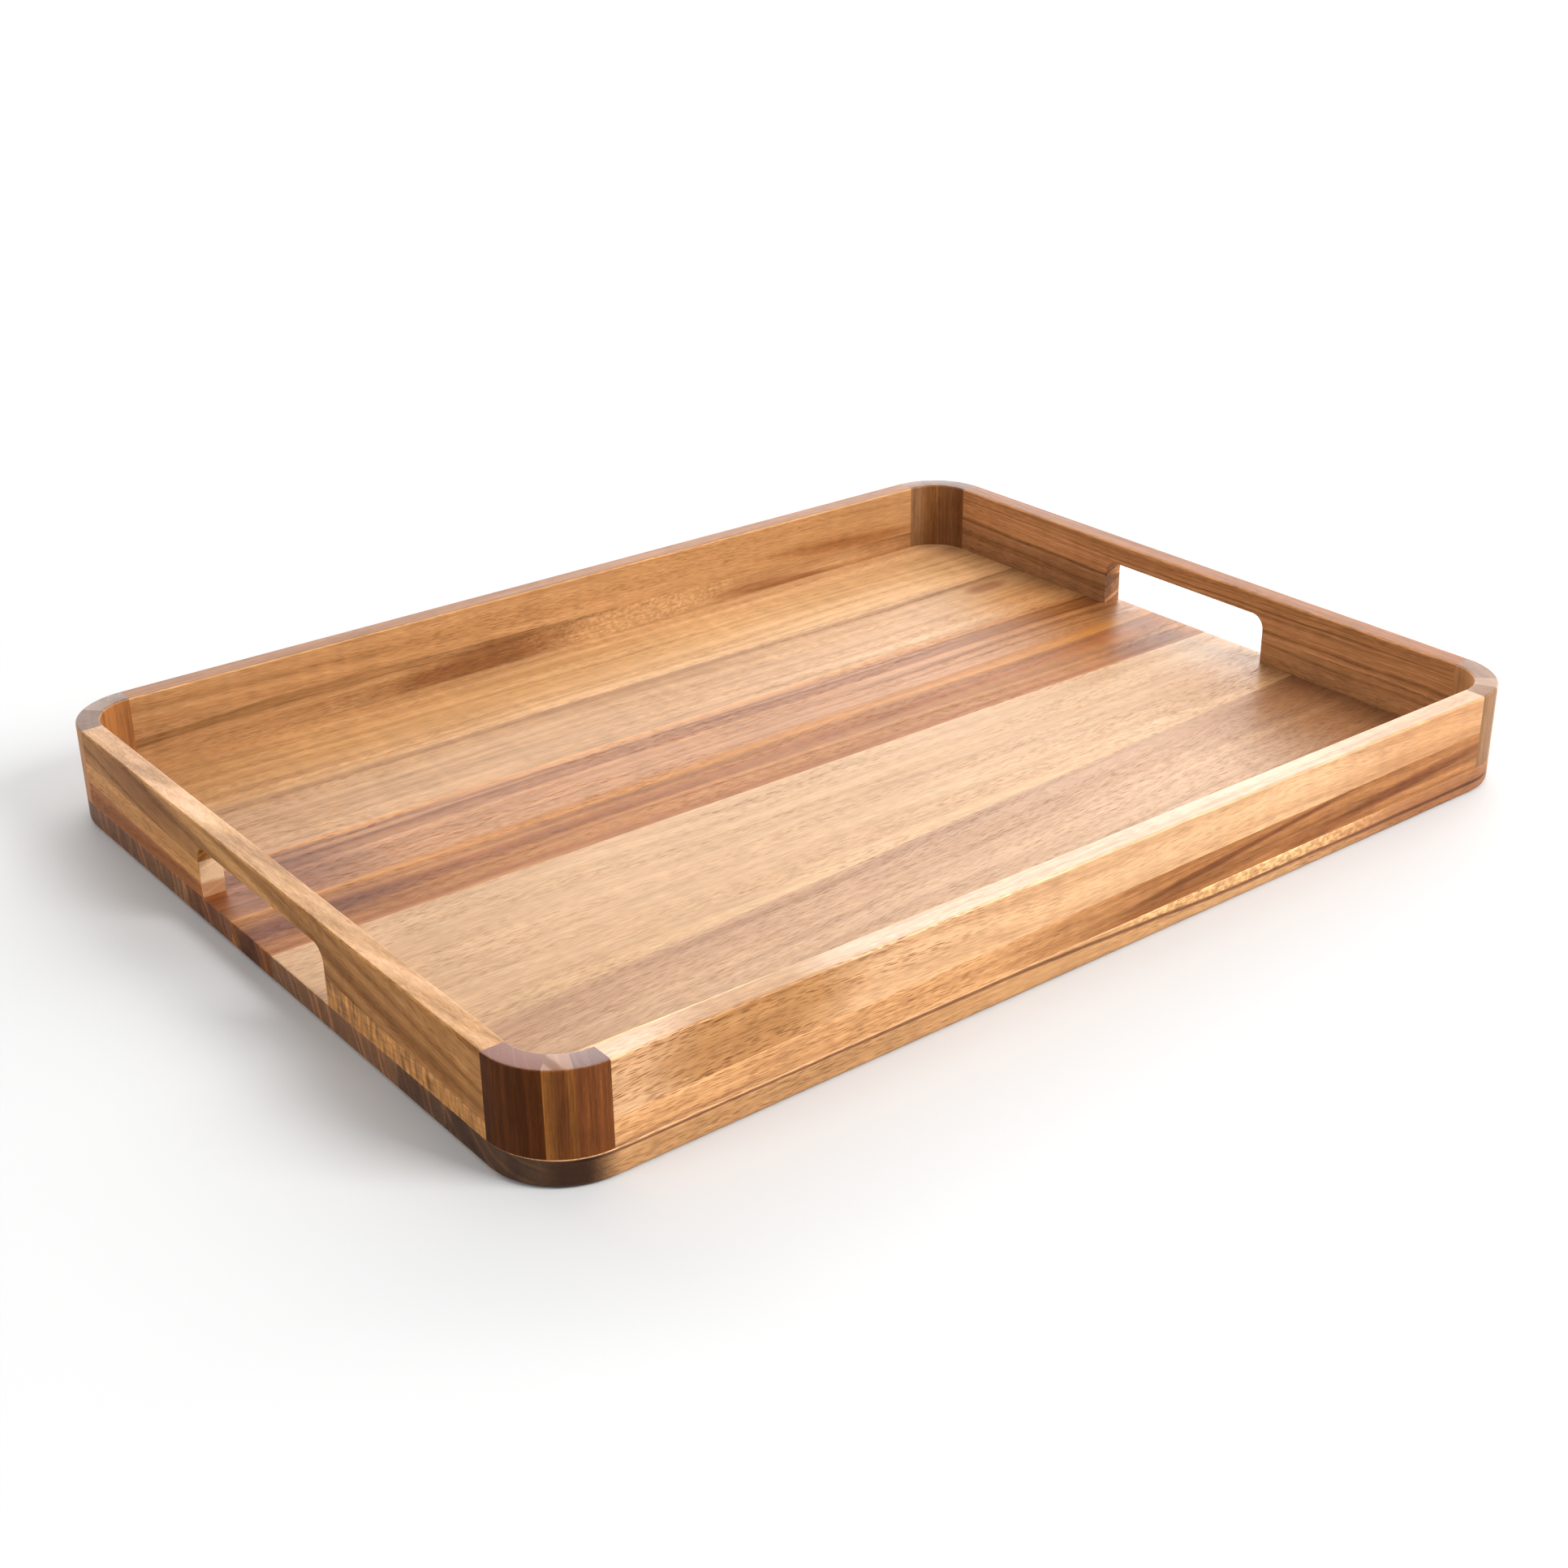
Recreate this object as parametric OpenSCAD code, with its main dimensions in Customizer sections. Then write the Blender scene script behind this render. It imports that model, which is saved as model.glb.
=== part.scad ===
// Wooden serving tray: a staved base board, four glued-up walls standing on it,
// and four quarter-round corner blocks between the walls.
// The walls and the blocks are butt-jointed over hidden dowels. Each short wall has a hand slot
// that is open down to the base board. +Z is up, the tray stands on z = 0, the long side runs along X.

/* [Tray] */
// Outside length of the tray, along X
tray_length = 610; // [480:1:700]
// Outside width of the tray, along Y
tray_width = 457; // [380:1:520]
// Outside radius of the four corners in plan
corner_radius = 36; // [32:1:42]

/* [Base board] */
// Thickness of the base board
base_thickness = 14; // [10:0.5:18]
// Radius of the round along the base board's bottom edge
bottom_round = 3; // [1.5:0.5:8]
// Radius of the eased top edge of the base board
base_arris = 0.6; // [0.3:0.1:1]

/* [Walls] */
// Height of the walls above the base board
wall_height = 40.5; // [38:0.5:60]
// Thickness of the walls and of the corner blocks
wall_thickness = 12; // [10:0.5:14]
// Radius of the eased top edges of the walls
wall_arris = 1; // [0.5:0.1:3]

/* [Hand slots] */
// Length of each hand slot, along the short wall
slot_length = 124; // [90:1:150]
// Height of each hand slot above the base board
slot_height = 28; // [26:0.5:28]
// Radius of the hand slot's upper corners
slot_round = 8; // [4:0.5:12]

/* [Corner blocks] */
// Angle from the long wall's joint to the first glue line of a block, in degrees
block_cut_1 = 24; // [21:1:30]
// Angle from the long wall's joint to the second glue line of a block, in degrees
block_cut_2 = 44; // [36:1:60]

/* [Dowels] */
// Diameter of the hidden dowels
dowel_d = 6; // [5:0.5:7]
// Length of the hidden dowels
dowel_length = 20; // [12:1:20]
// Height of the lower dowel of each joint above the base board
dowel_low = 11; // [8:1:12]
// Height of the upper dowel of each joint above the base board
dowel_high = 29; // [24:1:30]

/* [Hidden] */
$fn = 96;

half_l = tray_length / 2;
half_w = tray_width / 2;
long_run = tray_length - 2 * corner_radius;   // length of the front and back walls
short_run = tray_width - 2 * corner_radius;   // length of the left and right walls
reach = tray_length;                          // half-size of the cutting prisms, larger than the tray
dowel_chamfer = 0.6;                          // bevel at a dowel's ends

// Glue lines of the base board, from the front edge to the back edge, as parts of the tray's
// width from its middle: [at the left end, at the right end]. The staves are slightly tapered.
stave_cuts = [
    [-0.350, -0.368],
    [-0.267, -0.187],
    [-0.018, -0.022],
    [0.073, 0.089],
    [0.188, 0.185],
    [0.324, 0.321]
];

// Glue line between the lower and the upper strip of each wall, as parts of the wall's height:
// [at one end, at the other end], seen from outside the tray, from left to right.
front_glue = [0.34, 0.50];
right_glue = [0.38, 0.46];
back_glue = [0.25, 0.55];
left_glue = [0.60, 0.20];

// ---- profiles ----

// Cross-section of a wall: square foot, eased top edges
module wall_profile() {
    square([wall_thickness, wall_height - wall_arris]);
    translate([wall_arris, 0])
        square([wall_thickness - 2 * wall_arris, wall_height]);
    for (x = [wall_arris, wall_thickness - wall_arris])
        translate([x, wall_height - wall_arris])
            circle(wall_arris);
}

// Cross-section of the base board's rim: width along x from 0 to the outer face at `width`
module rim_profile(width) {
    translate([0, bottom_round])
        square([width, base_thickness - base_arris - bottom_round]);
    square([width - bottom_round, base_thickness]);
    translate([width - bottom_round - 1, bottom_round])
        square([bottom_round + 1 - base_arris, base_thickness - bottom_round]);
    translate([width - bottom_round, bottom_round])
        circle(bottom_round);
    translate([width - base_arris, base_thickness - base_arris])
        circle(base_arris);
}

// Outline of a hand slot: flat foot below the base board's top face, rounded upper corners
module slot_profile() {
    side = slot_length / 2 - slot_round;
    translate([-slot_length / 2, -1])
        square([slot_length, slot_height - slot_round + 1]);
    translate([-side, -1])
        square([2 * side, slot_height + 1]);
    for (s = [-1, 1])
        translate([s * side, slot_height - slot_round])
            circle(slot_round);
}

// ---- base board ----

// A straight stretch of rim along X, its outer face towards -Y
module rim_run(length) {
    translate([-length / 2, corner_radius, 0])
        mirror([0, 1, 0])
            rotate([90, 0, 90])
                linear_extrude(length)
                    rim_profile(corner_radius);
}

// The whole base board, before it is divided into staves
module base_board() {
    translate([-long_run / 2, -short_run / 2, 0])
        cube([long_run, short_run, base_thickness]);
    for (a = [0, 180])
        rotate([0, 0, a]) {
            translate([0, -half_w, 0])
                rim_run(long_run);
            translate([half_l, 0, 0])
                rotate([0, 0, 90])
                    rim_run(short_run);
        }
    for (sx = [-1, 1], sy = [-1, 1])
        translate([sx * long_run / 2, sy * short_run / 2, 0])
            rotate([0, 0, (sy < 0 ? 180 : 0) + (sx * sy > 0 ? 0 : 90)])
                rotate_extrude(angle = 90)
                    rim_profile(corner_radius);
}

// Width position of glue line i at x: lines 0 and 7 lie outside the board
function cut_y(i, x) =
    i == 0 ? -reach :
    i == len(stave_cuts) + 1 ? reach :
    let (c = stave_cuts[i - 1])
        tray_width * ((c[0] + c[1]) / 2 + (c[1] - c[0]) * x / tray_length);

// Stave i of the base board, counted from the front edge
module base_stave(i) {
    intersection() {
        base_board();
        translate([0, 0, -1])
            linear_extrude(base_thickness + 2)
                polygon([
                    [-reach, cut_y(i - 1, -reach)], [reach, cut_y(i - 1, reach)],
                    [reach, cut_y(i, reach)], [-reach, cut_y(i, -reach)]
                ]);
    }
}

// ---- dowels ----

// One dowel lying along X, centred on the joint at the origin
module dowel() {
    straight = dowel_length - 2 * dowel_chamfer;
    rotate([0, 90, 0]) {
        cylinder(d = dowel_d, h = straight, center = true);
        for (m = [0, 1])
            mirror([0, 0, m])
                translate([0, 0, straight / 2])
                    cylinder(d1 = dowel_d, d2 = dowel_d - 2 * dowel_chamfer, h = dowel_chamfer);
    }
}

// Puts its children at every wall joint, at both dowel heights, along the wall's direction
module at_joints() {
    mid = wall_thickness / 2;
    for (z = [dowel_low, dowel_high], sx = [-1, 1], sy = [-1, 1]) {
        translate([sx * long_run / 2, sy * (half_w - mid), base_thickness + z])
            children();
        translate([sx * (half_l - mid), sy * short_run / 2, base_thickness + z])
            rotate([0, 0, 90])
                children();
    }
}

// ---- walls ----

// A wall along X with its outer face towards -Y, cut to its strip: part 0 is below the glue line
// and part 1 above it. `glue` holds the line's height at the left and right ends, `slot` is true
// where the wall has a hand slot.
module wall_strip(length, glue, part, slot) {
    z_left = glue[0] * wall_height;
    z_right = glue[1] * wall_height;
    far = part == 0 ? -1 : wall_height + 1;
    translate([0, 0, base_thickness])
        difference() {
            intersection() {
                translate([-length / 2, 0, 0])
                    rotate([90, 0, 90])
                        linear_extrude(length)
                            wall_profile();
                translate([0, wall_thickness + 1, 0])
                    rotate([90, 0, 0])
                        linear_extrude(wall_thickness + 2)
                            polygon([
                                [-length / 2, z_left], [length / 2, z_right],
                                [length / 2, far], [-length / 2, far]
                            ]);
            }
            if (slot)
                translate([0, wall_thickness + 1, 0])
                    rotate([90, 0, 0])
                        linear_extrude(wall_thickness + 2)
                            slot_profile();
        }
}

// Removes the dowels' bores from a wall or a block
module bored() {
    difference() {
        children();
        at_joints()
            dowel();
    }
}

// A strip of the front (side -1) or back (side 1) wall
module long_wall(side, glue, part) {
    bored()
        rotate([0, 0, side < 0 ? 0 : 180])
            translate([0, -half_w, 0])
                wall_strip(long_run, glue, part, false);
}

// A strip of the left (side -1) or right (side 1) wall
module short_wall(side, glue, part) {
    bored()
        rotate([0, 0, side < 0 ? -90 : 90])
            translate([0, -half_l, 0])
                wall_strip(short_run, glue, part, true);
}

// The lower strip of a short wall is cut in two by the hand slot: end -1 is the front piece
module short_wall_foot(side, glue, end) {
    intersection() {
        short_wall(side, glue, 0);
        translate([-reach, end < 0 ? -half_w : 0, 0])
            cube([2 * reach, half_w, base_thickness + wall_height]);
    }
}

// ---- corner blocks ----

// Piece i (1 to 3, from the long wall to the short wall) of the block at corner (sx, sy)
module corner_block(sx, sy, i) {
    cuts = [0, block_cut_1, block_cut_2, 90];
    bored()
        mirror([sx < 0 ? 1 : 0, 0, 0])
            mirror([0, sy > 0 ? 1 : 0, 0])
                translate([long_run / 2, -short_run / 2, base_thickness])
                    rotate([0, 0, cuts[i - 1] - 90])
                        rotate_extrude(angle = cuts[i] - cuts[i - 1])
                            translate([corner_radius - wall_thickness, 0])
                                wall_profile();
}

// ---- sub-parts ----

module base_stave_1() { color("#B98A63") base_stave(1); }
module base_stave_2() { color("#D3A27D") base_stave(2); }
module base_stave_3() { color("#E0B68A") base_stave(3); }
module base_stave_4() { color("#8A5A3E") base_stave(4); }
module base_stave_5() { color("#996238") base_stave(5); }
module base_stave_6() { color("#C98F58") base_stave(6); }
module base_stave_7() { color("#C2833F") base_stave(7); }

module front_wall_lower() { color("#B5753F") long_wall(-1, front_glue, 0); }
module front_wall_upper() { color("#DDAA74") long_wall(-1, front_glue, 1); }
module back_wall_lower() { color("#C08A52") long_wall(1, back_glue, 0); }
module back_wall_upper() { color("#B07A45") long_wall(1, back_glue, 1); }

module left_wall_lower_front() { color("#B78A50") short_wall_foot(-1, left_glue, -1); }
module left_wall_lower_back() { color("#B08049") short_wall_foot(-1, left_glue, 1); }
module left_wall_upper() { color("#9A6B3A") short_wall(-1, left_glue, 1); }
module right_wall_lower_front() { color("#8A5B34") short_wall_foot(1, right_glue, -1); }
module right_wall_lower_back() { color("#8A5B34") short_wall_foot(1, right_glue, 1); }
module right_wall_upper() { color("#946339") short_wall(1, right_glue, 1); }

module front_left_block_1() { color("#6E4424") corner_block(-1, -1, 1); }
module front_left_block_2() { color("#7E522A") corner_block(-1, -1, 2); }
module front_left_block_3() { color("#4E3020") corner_block(-1, -1, 3); }
module front_right_block_1() { color("#9A6746") corner_block(1, -1, 1); }
module front_right_block_2() { color("#B58358") corner_block(1, -1, 2); }
module front_right_block_3() { color("#8A5B3E") corner_block(1, -1, 3); }
module back_left_block_1() { color("#8E5E34") corner_block(-1, 1, 1); }
module back_left_block_2() { color("#9C6A38") corner_block(-1, 1, 2); }
module back_left_block_3() { color("#7A5236") corner_block(-1, 1, 3); }
module back_right_block_1() { color("#7B5438") corner_block(1, 1, 1); }
module back_right_block_2() { color("#5E3D26") corner_block(1, 1, 2); }
module back_right_block_3() { color("#4F3220") corner_block(1, 1, 3); }

module joint_dowels() { color("#D9BE92") at_joints() dowel(); }

base_stave_1();
base_stave_2();
base_stave_3();
base_stave_4();
base_stave_5();
base_stave_6();
base_stave_7();
front_wall_lower();
front_wall_upper();
back_wall_lower();
back_wall_upper();
left_wall_lower_front();
left_wall_lower_back();
left_wall_upper();
right_wall_lower_front();
right_wall_lower_back();
right_wall_upper();
front_left_block_1();
front_left_block_2();
front_left_block_3();
front_right_block_1();
front_right_block_2();
front_right_block_3();
back_left_block_1();
back_left_block_2();
back_left_block_3();
back_right_block_1();
back_right_block_2();
back_right_block_3();
joint_dowels();
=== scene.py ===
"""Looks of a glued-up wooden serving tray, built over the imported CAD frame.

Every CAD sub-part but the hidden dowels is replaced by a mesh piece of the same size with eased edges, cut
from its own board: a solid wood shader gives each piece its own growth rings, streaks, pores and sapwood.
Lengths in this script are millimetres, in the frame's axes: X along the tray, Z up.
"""

import math
from types import SimpleNamespace

import bpy
from mathutils import Matrix, Quaternion, Vector


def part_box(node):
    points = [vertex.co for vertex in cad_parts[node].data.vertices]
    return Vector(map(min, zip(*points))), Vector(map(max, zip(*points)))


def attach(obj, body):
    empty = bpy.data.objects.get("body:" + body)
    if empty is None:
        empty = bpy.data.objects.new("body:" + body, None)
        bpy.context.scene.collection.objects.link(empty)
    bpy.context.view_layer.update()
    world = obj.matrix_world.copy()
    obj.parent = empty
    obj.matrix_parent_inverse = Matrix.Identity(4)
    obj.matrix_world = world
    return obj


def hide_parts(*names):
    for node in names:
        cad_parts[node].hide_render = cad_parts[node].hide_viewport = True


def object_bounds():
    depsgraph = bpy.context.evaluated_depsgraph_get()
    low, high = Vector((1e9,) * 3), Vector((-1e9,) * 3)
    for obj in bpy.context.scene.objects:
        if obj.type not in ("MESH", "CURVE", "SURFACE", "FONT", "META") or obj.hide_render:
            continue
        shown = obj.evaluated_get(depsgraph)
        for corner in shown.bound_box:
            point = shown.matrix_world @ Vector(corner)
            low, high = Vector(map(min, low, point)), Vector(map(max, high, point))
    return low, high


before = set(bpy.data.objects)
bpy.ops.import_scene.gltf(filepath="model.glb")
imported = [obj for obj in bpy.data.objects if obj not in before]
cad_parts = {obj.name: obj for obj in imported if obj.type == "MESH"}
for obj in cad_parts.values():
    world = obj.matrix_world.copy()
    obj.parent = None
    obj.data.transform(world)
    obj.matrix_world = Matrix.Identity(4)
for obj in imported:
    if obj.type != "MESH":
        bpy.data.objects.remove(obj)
cad_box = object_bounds()

MM = 0.001  # metres in a millimetre

# ---- camera ----

CAMERA_PLACE = (-656.0, -837.0, 513.0)
CAMERA_TARGET = (-39.0, -41.0, 30.0)
CAMERA_ROLL = -0.8  # degrees
CAMERA_LENS = 51.4
CAMERA_SENSOR = 36.0
CAMERA_CLIP = 0.01  # metres


def make_camera():
    """A camera standing at the tray's front left corner, looking down across it."""
    data = bpy.data.cameras.new("camera")
    data.lens = CAMERA_LENS
    data.sensor_width = CAMERA_SENSOR
    data.clip_start = CAMERA_CLIP
    camera = bpy.data.objects.new("camera", data)
    bpy.context.scene.collection.objects.link(camera)
    place = Vector(CAMERA_PLACE) * MM
    look = Vector(CAMERA_TARGET) * MM - place
    roll = Quaternion((0, 0, 1), math.radians(CAMERA_ROLL))
    turn = look.to_track_quat("-Z", "Y") @ roll
    camera.matrix_world = Matrix.LocRotScale(place, turn, None)
    bpy.context.scene.camera = camera


make_camera()

# ---- sizes, read from the frame ----


def node_points(node):
    """The vertices of a CAD node, in millimetres."""
    return [v.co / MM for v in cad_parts[node].data.vertices]


HALF_LENGTH = cad_box[1][0] / MM
HALF_WIDTH = cad_box[1][1] / MM
TRAY_TOP = cad_box[1][2] / MM
BASE_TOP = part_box("base_stave_4")[1].z / MM
LONG_RUN = 2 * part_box("front_wall_upper")[1].x / MM     # length of the front and back walls
SHORT_RUN = 2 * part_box("left_wall_upper")[1].y / MM     # length of the left and right walls
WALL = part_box("front_wall_upper")[1].y / MM + HALF_WIDTH  # thickness of the walls
CORNER = HALF_LENGTH - LONG_RUN / 2                     # outside radius of the corners
SLOT_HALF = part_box("left_wall_lower_back")[0].y / MM    # half-length of a hand slot

BOTTOM_ROUND = 3.0    # along the base board's bottom edge
BASE_ARRIS = 0.6      # along the base board's top edge
WALL_ARRIS = 1.0      # along the walls' top edges
SLOT_HEIGHT = 28.0    # of a hand slot above the base board
SLOT_TOP = BASE_TOP + SLOT_HEIGHT
SLOT_ROUND = 8.0      # upper corners of a hand slot
SLOT_ARRIS = 0.5      # around a hand slot
JOINT_ARRIS = 0.12    # along the glue lines
SAME_PLACE = 0.05     # points nearer than this are taken as one

# ---- mesh helpers ----

ARC_STEPS = 20        # faces in a corner's quarter turn
ROUND_STEPS = 6       # faces in a rounded edge
SMOOTH_ANGLE = 31.0   # faces that meet at less than this many degrees are shaded as one


def arc(centre, radius, start, end, steps):
    """Points on a circle in a plane, from one angle to another in degrees."""
    points = []
    for k in range(steps + 1):
        angle = math.radians(start + (end - start) * k / steps)
        points.append((centre[0] + radius * math.cos(angle), centre[1] + radius * math.sin(angle)))
    return points


def loft(rings):
    """Vertices and faces of a solid through rings of equally many points, closed by a face at each end."""
    count = len(rings[0])
    points = [p for ring in rings for p in ring]
    faces = [list(range(count))[::-1]]
    for level in range(len(rings) - 1):
        low = level * count
        for k in range(count):
            nxt = (k + 1) % count
            faces.append([low + k, low + nxt, low + count + nxt, low + count + k])
    top = (len(rings) - 1) * count
    faces.append([top + k for k in range(count)])
    return points, faces


def make_piece(node, points, faces, material, eases=None):
    """One wooden piece in place of a CAD node. `eases` gives an edge's round from its two ends, or 0."""
    mesh = bpy.data.meshes.new(node + "_wood")
    mesh.from_pydata([Vector(p) * MM for p in points], [], faces)
    mesh.validate()
    piece = bpy.data.objects.new(node + "_wood", mesh)
    bpy.context.scene.collection.objects.link(piece)
    mesh.materials.append(material)
    mesh.shade_smooth()
    mesh.set_sharp_from_angle(angle=math.radians(SMOOTH_ANGLE))
    if eases:
        widest = 0.0
        sizes = []
        for edge in mesh.edges:
            size = eases(*(Vector(points[k]) for k in edge.vertices))
            sizes.append(size)
            widest = max(widest, size)
        weights = mesh.attributes.new("bevel_weight_edge", "FLOAT", "EDGE")
        weights.data.foreach_set("value", [size / widest for size in sizes])
        bevel = piece.modifiers.new("eased edges", "BEVEL")
        bevel.limit_method = "WEIGHT"
        bevel.width = widest * MM
        bevel.segments = ROUND_STEPS
        bevel.use_clamp_overlap = False
        bevel.harden_normals = False
        normals = piece.modifiers.new("flat faces stay flat", "WEIGHTED_NORMAL")
        normals.keep_sharp = True
    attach(piece, "root")
    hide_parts(node)
    return piece


# ---- shader helpers ----

SEED_SHIFT = (1.0, 0.37, 0.71)   # how far a seed of 1 moves the noise on each axis


def colour(code):
    """Linear colour from an sRGB hex code."""
    channels = []
    for k in (1, 3, 5):
        value = int(code[k:k + 2], 16) / 255
        channels.append(value / 12.92 if value <= 0.04045 else ((value + 0.055) / 1.055) ** 2.4)
    return (*channels, 1.0)


def shaded(tone, shade):
    """A colour made lighter or darker."""
    return (*(channel * shade for channel in tone[:3]), 1.0)


class Shader:
    """A material under construction. Any input may be a constant or another node's output."""

    def __init__(self, name):
        self.material = bpy.data.materials.new(name)
        self.material.use_nodes = True
        self.tree = self.material.node_tree
        self.surface = self.tree.nodes["Principled BSDF"]

    def put(self, socket, value):
        """Link a node's output to a socket, or set the socket to a constant."""
        if isinstance(value, bpy.types.NodeSocket):
            self.tree.links.new(value, socket)
        else:
            socket.default_value = value

    def add(self, kind, inputs=(), **settings):
        """A new node with its inputs, by number or name, and its settings."""
        node = self.tree.nodes.new(kind)
        for name, value in settings.items():
            setattr(node, name, value)
        for key, value in dict(inputs).items():
            self.put(node.inputs[key], value)
        return node

    def math(self, operation, *values, clamp=False):
        node = self.add("ShaderNodeMath", enumerate(values), operation=operation, use_clamp=clamp)
        return node.outputs[0]

    def vector(self, operation, *values):
        node = self.add("ShaderNodeVectorMath", enumerate(values), operation=operation)
        return node.outputs["Value" if operation == "LENGTH" else "Vector"]

    def scale(self, vector, factor):
        node = self.add("ShaderNodeVectorMath", {0: vector, "Scale": factor}, operation="SCALE")
        return node.outputs["Vector"]

    def combine(self, x, y, z):
        return self.add("ShaderNodeCombineXYZ", {0: x, 1: y, 2: z}).outputs[0]

    def split(self, vector):
        return self.add("ShaderNodeSeparateXYZ", {0: vector}).outputs

    def step(self, value, start, end, low=0.0, high=1.0):
        """A smooth step: `low` before start, `high` after end."""
        inputs = {"Value": value, "From Min": start, "From Max": end, "To Min": low, "To Max": high}
        node = self.add("ShaderNodeMapRange", inputs, interpolation_type="SMOOTHSTEP")
        return node.outputs["Result"]

    def noise(self, vector, lengths, seed=0.0, detail=2.0, roughness=0.5):
        """3-D noise whose features are `lengths` mm long on the three axes, about 0.5 in the middle."""
        scaled = self.vector("MULTIPLY_ADD", vector, [1 / length for length in lengths],
                             [seed * shift for shift in SEED_SHIFT])
        node = self.add("ShaderNodeTexNoise", {"Vector": scaled, "Scale": 1.0, "Detail": detail,
                                               "Roughness": roughness})
        return node.outputs["Fac"]

    def line_noise(self, value, length, seed=0.0, detail=2.0):
        """1-D noise along a value, with features `length` mm long."""
        place = self.math("MULTIPLY_ADD", value, 1 / length, seed)
        node = self.add("ShaderNodeTexNoise", {"W": place, "Scale": 1.0, "Detail": detail},
                        noise_dimensions="1D")
        return node.outputs["Fac"]

    def centred(self, value, amount):
        """Noise turned into a swing of about `amount` either way."""
        return self.math("MULTIPLY_ADD", value, 2 * amount, -amount)

    def tint(self, base, factor, ratio):
        """`base` multiplied by `ratio` where factor is 1."""
        inputs = {0: factor, 6: base, 7: (*ratio, 1.0)}
        return self.add("ShaderNodeMix", inputs, data_type="RGBA", blend_type="MULTIPLY").outputs[2]

    def ramp(self, factor, stops):
        """Colours blended along `factor` between stops, each (place, colour)."""
        node = self.add("ShaderNodeValToRGB", {0: factor})
        elements = node.color_ramp.elements
        while len(elements) < len(stops):
            elements.new(0.5)
        for element, (place, value) in zip(elements, stops):
            element.position = place
            element.color = value
        return node.outputs["Color"]


# ---- wood ----

# Tones of acacia, from sapwood to heartwood: the light, middle and dark of the grain.
TONES = {
    "sapwood": ("#DCC193", "#CFB07F", "#AE8C5C"),
    "cream": ("#D4AE84", "#C69C70", "#A47C54"),
    "peach": ("#D2AC88", "#C29A74", "#9A7454"),
    "tan": ("#CCA278", "#B88C60", "#8C6640"),
    "honey": ("#CC9660", "#B48048", "#845628"),
    "russet": ("#BC8658", "#A47042", "#72482A"),
    "hazel": ("#B27C48", "#946030", "#6A4020"),
    "mauve": ("#B08664", "#98704C", "#6C4E34"),
    "chestnut": ("#A06A34", "#845220", "#5A3414"),
    "umber": ("#8C5428", "#6E3E1A", "#48280E"),
    "walnut": ("#74421C", "#5A300E", "#3A1E08"),
}

# The look of a piece when nothing else is said. Lengths in mm. A look may also name, as "extra", a
# function that adds marks of its own.
PLAIN = {
    "tone": "tan",
    "shade": 1.0,                # lightens or darkens the whole tone
    "gloss": 0.35,               # specular level of the oiled surface
    "pith": (110.0, -45.0),      # the tree's middle from the piece's own, across the grain and in depth
    "slope": 0.0,                # how far the grain drifts across for each mm along
    "drift": 10.0,               # slow wander of the grain
    "ripple": 1.2,               # small wander of the grain
    "rings": 7.0,                # spacing of the growth rings
    "ring": 0.42,                # share of the growth rings in the pattern
    "streak": 0.34,              # share of the long streaks
    "streak_size": (240.0, 5.0, 5.0),
    "fibre": 0.24,               # share of the fine fibres
    "contrast": 1.35,
    "figure": 0.06,              # light and dark bars across the grain
    "figure_size": (9.0, 45.0, 45.0),
    "fine": 0.3,                 # short fine fibres
    "cloud": 0.06,               # broad light and dark clouds
    "pores": 0.5,                # strength of the pores
    "pore_tint": (0.46, 0.34, 0.25),
    "pore_size": (7.5, 0.5, 0.5),
    "pore_zones": (0.38, 0.62, 0.25),   # where the zones of pores start and end, and what is left between
    "pore_fade": None,           # where along the piece the pores thin out: start, end, and what is left
    "end": (0.50, 0.47, 0.52),   # tint of the end grain
    "end_colour": None,          # or the colour that the end grain turns to
    "end_lines": 0.8,            # strength of the ring lines on the end grain
    "top": None,                 # tint of the faces that look up: painted sheen and painted shade on the tops
    "bands": (),
    "patches": (),
}

# Sizes of the grain's features in mm: along, across and through the board.
SLOW_WANDER = (300.0, 70.0, 70.0)
QUICK_WANDER = (55.0, 8.0, 8.0)
MARK_WANDER = (70.0, 12.0, 12.0)
FIBRES = (26.0, 0.9, 0.9)
FINE_FIBRES = (9.0, 0.5, 0.5)
CLOUDS = (90.0, 22.0, 22.0)
PORE_ZONES = (160.0, 14.0, 14.0)
WORN_AND_GLEAMING_SPOTS = (25.0, 6.0, 6.0)
END_LINES = 3.6                  # spacing of the ring lines on the end grain

# What each layer of noise adds to a piece's seed, so that no two layers are alike.
LAYER = {"ripple": 3.1, "streak": 5.3, "fibre": 7.7, "cloud": 11.0, "figure": 13.0, "fine": 15.0,
         "mark": 17.0, "zone": 19.0, "wear_and_highlight": 23.0, "end line": 29.0}
SPECK_SEED = 41.0

TONE_STOPS = (0.16, 0.5, 0.84)   # where in the pattern the dark, middle and light tones are
END_TURN = (0.55, 0.95)          # how far a face turns towards the grain's end: side grain, end grain
TOP_TURN = (0.85, 0.98)          # how far a face turns up: a side, a top
END_COVER = 0.85                 # share of the end colour on the end grain
END_LINE_LEVELS = (0.56, 0.63)   # noise levels at which a ring line starts and is full
END_LINE_TINT = (2.0, 1.9, 1.8)
SPECK_LEVELS = (0.42, 0.60)      # noise levels at which a speck starts and is full
PORE_RIM = (0.22, 0.44)          # where a pore's edge starts and ends, as shares of its cell
TOP_PORES = 0.35                 # share of the pores that is left on the tops
WEAR_AND_HIGHLIGHT_LEVELS = (0.35, 0.65)       # noise levels at which an edge's wear and painted highlight are least and most
LEAST_WEAR_AND_HIGHLIGHT = 0.4                 # share of the wear and painted highlight that every edge has
# Tint of rubbed wear with a painted highlight on the eased edges that turn up.
WEAR_AND_HIGHLIGHT_TINT = (1.35, 1.42, 1.5)

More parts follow.
